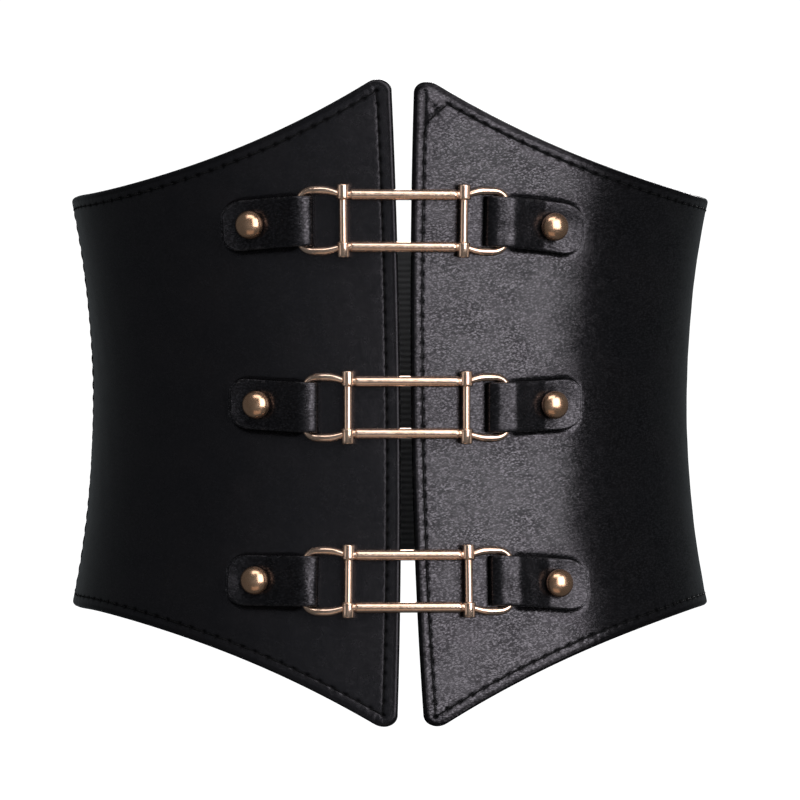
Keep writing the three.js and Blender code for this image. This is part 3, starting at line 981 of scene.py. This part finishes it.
class Nodes:
    """Adds shader nodes to a tree, each with its inputs set or linked."""

    def __init__(self, tree):
        self.tree = tree

    def fill(self, socket, value):
        if isinstance(value, bpy.types.NodeSocket):
            self.tree.links.new(value, socket)
        else:
            socket.default_value = value

    def node(self, kind, inputs, output=0, **options):
        made = self.tree.nodes.new("ShaderNode" + kind)
        for option, value in options.items():
            setattr(made, option, value)
        for socket, value in inputs.items():
            self.fill(made.inputs[socket], value)
        return made.outputs[output]

    def math(self, operation, a, b=0.0):
        return self.node("Math", {0: a, 1: b}, operation=operation)

    def plus(self, a, b):
        return self.math("ADD", a, b)

    def minus(self, a, b):
        return self.math("SUBTRACT", a, b)

    def times(self, a, b):
        return self.math("MULTIPLY", a, b)


class Look(Nodes):
    """A material made of nodes, built up round its Principled shader."""

    def __init__(self, name, **values):
        self.material = bpy.data.materials.new(name)
        self.material.use_nodes = True
        super().__init__(self.material.node_tree)
        self.shader = self.tree.nodes["Principled BSDF"]
        for socket, value in values.items():
            self.set(socket.replace("_", " "), value)

    def set(self, socket, value):
        self.fill(self.shader.inputs[socket], value)

    def attribute(self, name, output="Vector"):
        return self.node("Attribute", {}, output, attribute_name=name)

    def stretched(self, vector, scale, turn=0):
        return self.node("Mapping", {"Vector": vector, "Rotation": (0, 0, turn), "Scale": scale})

    def noise(self, vector, scale, detail=3, roughness=0.55, distortion=0):
        inputs = {"Vector": vector, "Scale": scale, "Detail": detail, "Roughness": roughness,
                  "Distortion": distortion}
        return self.node("TexNoise", inputs, "Fac")

    def cells(self, vector, scale, smoothness):
        inputs = {"Vector": vector, "Scale": scale, "Smoothness": smoothness}
        return self.node("TexVoronoi", inputs, "Distance", feature="SMOOTH_F1")

    def wave(self, value, length):
        return self.math("SINE", self.times(value, 2 * math.pi / length))

    def across_and_up(self, vector):
        made = self.node("SeparateXYZ", {0: vector}).node
        return made.outputs["X"], made.outputs["Y"]

    def span(self, value, low, high, new_low=0, new_high=1):
        inputs = {"Value": value, "From Min": low, "From Max": high, "To Min": new_low,
                  "To Max": new_high}
        return self.node("MapRange", inputs, interpolation_type="SMOOTHSTEP")

    def blend(self, share, a, b):
        return self.node("Mix", {0: share, 6: (*a, 1) if isinstance(a, tuple) else a,
                                 7: (*b, 1) if isinstance(b, tuple) else b}, 2, data_type="RGBA")

    def bump(self, height, strength, distance):
        inputs = {"Height": height, "Strength": strength, "Distance": distance * MM}
        return self.node("Bump", inputs)

    def finish(self, colour, roughness, normal=None):
        self.set("Base Color", colour)
        self.set("Roughness", roughness)
        if normal is not None:
            self.set("Normal", normal)
        return self.material


def leather_look(name, grain, gloss, rim_shade_share):
    """Black coated leather: grain and creases and a little wear, with painted shade in the grain's
    hollows, in the seams and on a strip along the rim.
    """
    look = Look(name, IOR=LEATHER_IOR, Specular_Tint=LEATHER_TINT)
    cut = look.attribute("cut")
    edge, seam = look.attribute("edge", "Fac"), look.attribute("seam", "Fac")
    slanted = look.stretched(cut, GRAIN_STRETCH, GRAIN_TURN)
    pebbles = look.cells(slanted, 1.45, 0.4)
    fine = look.noise(slanted, 2.0, 3, 0.75, 0.5)
    folds = look.noise(look.stretched(slanted, (0.4, 1.0, 1)), 1.0, 3, 0.6, 1.4)
    creases = look.math("ABSOLUTE", look.minus(folds, 0.5))
    height = look.minus(look.times(fine, 1.1), look.times(pebbles, 0.45))
    height = look.plus(height, look.times(creases, 1.1))
    patches = look.noise(cut, 0.06, 3, 0.6)
    normal = look.bump(height, look.span(patches, 0.35, 0.65, 0.75 * grain, grain), GRAIN_DEPTH)
    wear = look.span(look.noise(cut, 0.5, 4), 0.45, 0.7)
    worn = look.times(look.span(edge, 0, 0.9, 1, 0), wear)
    # Painted shade: the grain's hollows are coloured darker.
    pit_shade = look.span(height, GRAIN_LOW, GRAIN_HIGH, 0.5 * grain, 0)
    colour = look.blend(look.span(patches, 0.3, 0.7), LEATHER_BLACK, LEATHER_WARM)
    colour = look.blend(pit_shade, colour, LEATHER_PIT_SHADE)
    colour = look.blend(look.times(worn, 0.4), colour, LEATHER_WORN)
    # Painted shade: the seam mark darkens the colour here and lowers the reflection below.
    colour = look.blend(seam, colour, LEATHER_SEAM_SHADE)
    depth = look.span(look.noise(cut, 0.09, 3, 0.6), 0.3, 0.7, 0.6 * grain, grain)
    level = look.times(look.span(height, GRAIN_LOW, GRAIN_HIGH, -0.45, 0.45), depth)
    # Painted shade: a strip from 1.5 to 2.3 mm in from the rim reflects less, by an amount set for
    # each piece, and so does the seam mark.
    rim_shade = look.times(look.span(edge, 1.5, 2.3, 1, 0), rim_shade_share)
    dull = look.math("MAXIMUM", rim_shade, look.times(seam, 0.9))
    look.set("Specular IOR Level", look.times(look.plus(level, 0.5), look.minus(1.0, dull)))
    roughness = look.span(look.noise(cut, 0.35, 5, 0.6), 0.3, 0.7, gloss - 0.03, gloss + 0.04)
    roughness = look.plus(roughness, look.times(look.plus(worn, seam), 0.15))
    return look.finish(colour, roughness, normal)


def backing_look():
    """The napped inside of the leather."""
    look = Look("leather_inside", Specular_IOR_Level=0.25, Sheen_Weight=0.25, Sheen_Roughness=0.5)
    cut = look.attribute("cut")
    fibres = look.noise(look.stretched(cut, (1, 2.4, 1)), 2.2, 5, 0.7, 1.5)
    clouds = look.noise(cut, 0.09, 3)
    dark, light = (0.016, 0.0155, 0.016), (0.042, 0.04, 0.041)
    colour = look.blend(look.span(fibres, 0.3, 0.7), dark, light)
    colour = look.blend(look.times(clouds, 0.5), colour, (0.02, 0.019, 0.021))
    return look.finish(colour, look.span(fibres, 0.3, 0.7, 0.95, 0.8), look.bump(fibres, 0.7, 0.2))


def elastic_look():
    """Black elastic with fine woven threads and a soft sheen. Its ribs are in the mesh."""
    look = Look("elastic_black", Specular_IOR_Level=0.35, Sheen_Weight=0.3, Sheen_Roughness=0.4)
    cut = look.attribute("cut")
    across, up = look.across_and_up(cut)
    weave = look.times(look.wave(across, 0.62), look.wave(up, 0.55))
    fuzz = look.noise(cut, 3.1, 4, 0.7)
    height = look.plus(look.times(weave, 0.4), look.times(fuzz, 0.6))
    shade = look.plus(look.times(weave, 0.18), fuzz)
    dark, light = (0.011, 0.011, 0.012), (0.042, 0.041, 0.044)
    colour = look.blend(look.span(shade, 0.3, 0.8), dark, light)
    return look.finish(colour, look.span(fuzz, 0.3, 0.7, 0.6, 0.75), look.bump(height, 0.6, 0.2))


def thread_look():
    """Black twisted sewing thread."""
    look = Look("thread_black", Specular_IOR_Level=0.12)
    cut = look.attribute("cut")
    along, turn = look.across_and_up(cut)
    twist = look.wave(look.plus(look.times(along, 1.5), turn), 0.5)
    fuzz = look.noise(cut, 6, 3)
    shade = look.plus(look.times(twist, 0.25), fuzz)
    dark, light = (0.0025, 0.0025, 0.003), (0.009, 0.0085, 0.009)
    colour = look.blend(look.span(shade, 0.2, 0.8), dark, light)
    return look.finish(colour, look.span(fuzz, 0.3, 0.7, 0.5, 0.7), look.bump(twist, 0.5, 0.1))


def gold_look(name, pale, deep, low, high):
    """Rose gold plating, polished, with faint scratches and dull spots."""
    look = Look(name, Metallic=0.96)
    place = look.node("TexCoord", {}, "Object")
    clouds = look.noise(place, 240, 3, 0.6)
    scratches = look.noise(look.stretched(place, (900, 2600, 4200)), 1, 2, 0.5, 0.6)
    spots = look.noise(place, 900, 4, 0.6)
    colour = look.blend(look.span(clouds, 0.3, 0.7), deep, pale)
    colour = look.blend(look.span(spots, 0.58, 0.75, 0, 0.55), colour, GOLD_SPOT)
    height = look.plus(look.times(clouds, 1.2), look.times(scratches, 0.12))
    roughness = look.span(scratches, 0.3, 0.75, low, high)
    return look.finish(colour, roughness, look.bump(height, 0.25, 0.12))


def floor_look():
    look = Look("pale_floor", Specular_IOR_Level=0.1, Emission_Strength=1.05,
                Emission_Color=(1, 1, 1, 1))
    mottle = look.noise(look.node("TexCoord", {}, "Object"), 3, 3)
    colour = look.blend(mottle, (0.88, 0.88, 0.88), (0.92, 0.92, 0.92))
    return look.finish(colour, look.span(mottle, 0, 1, 0.85, 0.95))


# Stage

CAMERA_DISTANCE = 1285
CAMERA_TURN = math.radians(-3.9)
CAMERA_RIGHT = 3.8
CAMERA_UP = 1.46
LENS = 158.9
AMBIENT = 0.085
GLOW = 0.13
GLOW_FOCUS = 11
GLOW_TURN = -4
GLOW_LIFT = -6
DIM_COLOUR = (0.93, 1.02, 1.06)
WHITE_STRENGTH = 1.1
FLOOR_DROP = 0.6
FLOOR_SIZE = 40

# Soft lights: name, degrees round from the front and above level, distance and size in metres,
# power in watts, and colour. The two cards light the links alone.
WHITE = (1, 1, 1)
LIGHTS = [
    ("key_light", 26.5, 15, 1.5, (1.08, 1.34), 17.3, WHITE),
    ("top_light", -8, 52, 1.6, (1.2, 0.6), 5.8, WHITE),
    ("low_light", -10, -48, 1.6, (1.2, 0.8), 1.1, (1, 0.78, 0.6)),
    ("back_light", 160, 38, 1.8, (1.2, 1.2), 38, WHITE),
]
LINK_CARDS = [
    ("left_card", -62, 4, 1.5, (0.8, 1.4), 1.6, (1, 0.95, 0.9)),
    ("right_card", 84, 0, 1.5, (0.7, 1.4), 1.2, (1, 0.92, 0.84)),
]


def direction(azimuth, elevation):
    turn, lift = math.radians(azimuth), math.radians(elevation)
    level = math.cos(lift)
    return Vector((math.sin(turn) * level, -math.cos(turn) * level, math.sin(lift)))


def place_camera():
    data = bpy.data.cameras.new("camera")
    data.sensor_width = 36
    data.lens = LENS
    data.clip_start, data.clip_end = 0.05, 50
    camera = new_object("camera", data)
    back = Vector((math.sin(CAMERA_TURN), -math.cos(CAMERA_TURN), 0))
    right = Vector((math.cos(CAMERA_TURN), math.sin(CAMERA_TURN), 0))
    spot = back * CAMERA_DISTANCE + right * CAMERA_RIGHT + Vector((0, 0, CAMERA_UP))
    camera.location = spot * MM
    camera.rotation_euler = (-back).to_track_quat("-Z", "Y").to_euler()
    bpy.context.scene.camera = camera


def softbox(name, azimuth, elevation, distance, size, power, colour):
    """A soft light that faces the middle of the belt, and that the camera doesn't see."""
    data = bpy.data.lights.new(name, "AREA")
    data.shape = "RECTANGLE"
    data.size, data.size_y = size
    data.energy = power
    data.color = colour
    light = new_object(name, data)
    away = direction(azimuth, elevation)
    light.location = away * distance
    light.rotation_euler = away.to_track_quat("Z", "Y").to_euler()
    light.visible_camera = False
    return light


def set_lights():
    for lamp in LIGHTS:
        softbox(*lamp)
    links = bpy.data.collections.new("gold_links")
    for piece in bpy.context.scene.objects:
        if piece.name.startswith("gold_link"):
            links.objects.link(piece)
    for card in LINK_CARDS:
        softbox(*card).light_linking.receiver_collection = links


def set_world():
    """White where the camera sees it, and otherwise dim, with a soft glow from the front."""
    world = bpy.data.worlds.new("studio")
    bpy.context.scene.world = world
    world.use_nodes = True
    world.node_tree.nodes.clear()
    nodes = Nodes(world.node_tree)
    facing = nodes.node("VectorMath", {0: nodes.node("TexCoord", {}, "Generated"),
                                       1: direction(GLOW_TURN, GLOW_LIFT)},
                        "Value", operation="DOT_PRODUCT")
    focus = nodes.math("POWER", nodes.math("MAXIMUM", facing), GLOW_FOCUS)
    strength = nodes.plus(nodes.times(focus, GLOW), AMBIENT)
    dim = nodes.node("Background", {"Color": (*DIM_COLOUR, 1), "Strength": strength})
    white = nodes.node("Background", {"Color": (1, 1, 1, 1), "Strength": WHITE_STRENGTH})
    seen = nodes.node("LightPath", {}, "Is Camera Ray")
    mix = nodes.node("MixShader", {0: seen, 1: dim, 2: white})
    nodes.fill(nodes.tree.nodes.new("ShaderNodeOutputWorld").inputs["Surface"], mix)


def lay_floor():
    half = FLOOR_SIZE / MM / 2
    low = -FLOOR_DROP / MM
    corners = [(-half, -half, low), (half, -half, low), (half, half, low), (-half, half, low)]
    floor = make_piece("floor", corners, [[0, 1, 2, 3]])
    floor.data.materials.append(floor_look())
    floor.visible_glossy = False
    floor.visible_diffuse = False


# The belt

def dress(piece, slot, *looks, stands_for=()):
    for look in looks:
        piece.data.materials.append(look)
    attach(piece, "root")
    if stands_for:
        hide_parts(*stands_for)


def build_belt():
    panel_leather = {
        # The rim's painted shade is set for each piece: more on the right panel, less on the left,
        # none on the tabs.
        "left": leather_look("smooth_leather_black", grain=0.25, gloss=0.24, rim_shade_share=0.5),
        "right": leather_look("leather_black", grain=0.8, gloss=0.2, rim_shade_share=0.75),
    }
    tab_leather = leather_look("tab_leather_black", grain=0.8, gloss=0.25, rim_shade_share=0.0)
    inside, elastic, thread = backing_look(), elastic_look(), thread_look()
    gold = gold_look("gold_plate", (0.88, 0.63, 0.5), (0.8, 0.54, 0.4), 0.12, 0.24)
    # The studs take a darker, browner copy of the gold plate, which paints shade on them.
    domed_gold = gold_look("shaded_gold_plate", (0.82, 0.51, 0.34), (0.7, 0.41, 0.26), 0.2, 0.3)
    for side in SIDES:
        looks = panel_leather[side["name"]], inside
        dress(leather_panel(side), "leather", *looks, stands_for=[f"panel_{side['name']}"])
        dress(stitching(side), "thread", thread)
    dress(elastic_band(), "elastic", elastic, elastic, stands_for=["back_band"])
    for row in ROWS:
        dress(gold_link(row), "gold_metal", gold, stands_for=[f"link_{row['name']}"])
        for side in SIDES:
            ending = f"{side['name']}_{row['name']}"
            dress(leather_tab(row, side), "leather", tab_leather, tab_leather,
                  stands_for=[f"tab_{ending}"])
            dress(gold_stud(row, side), "gold_metal", domed_gold, stands_for=[f"stud_{ending}"])


bpy.context.scene.view_settings.view_transform = "Standard"
place_camera()
set_world()
lay_floor()
build_belt()
set_lights()
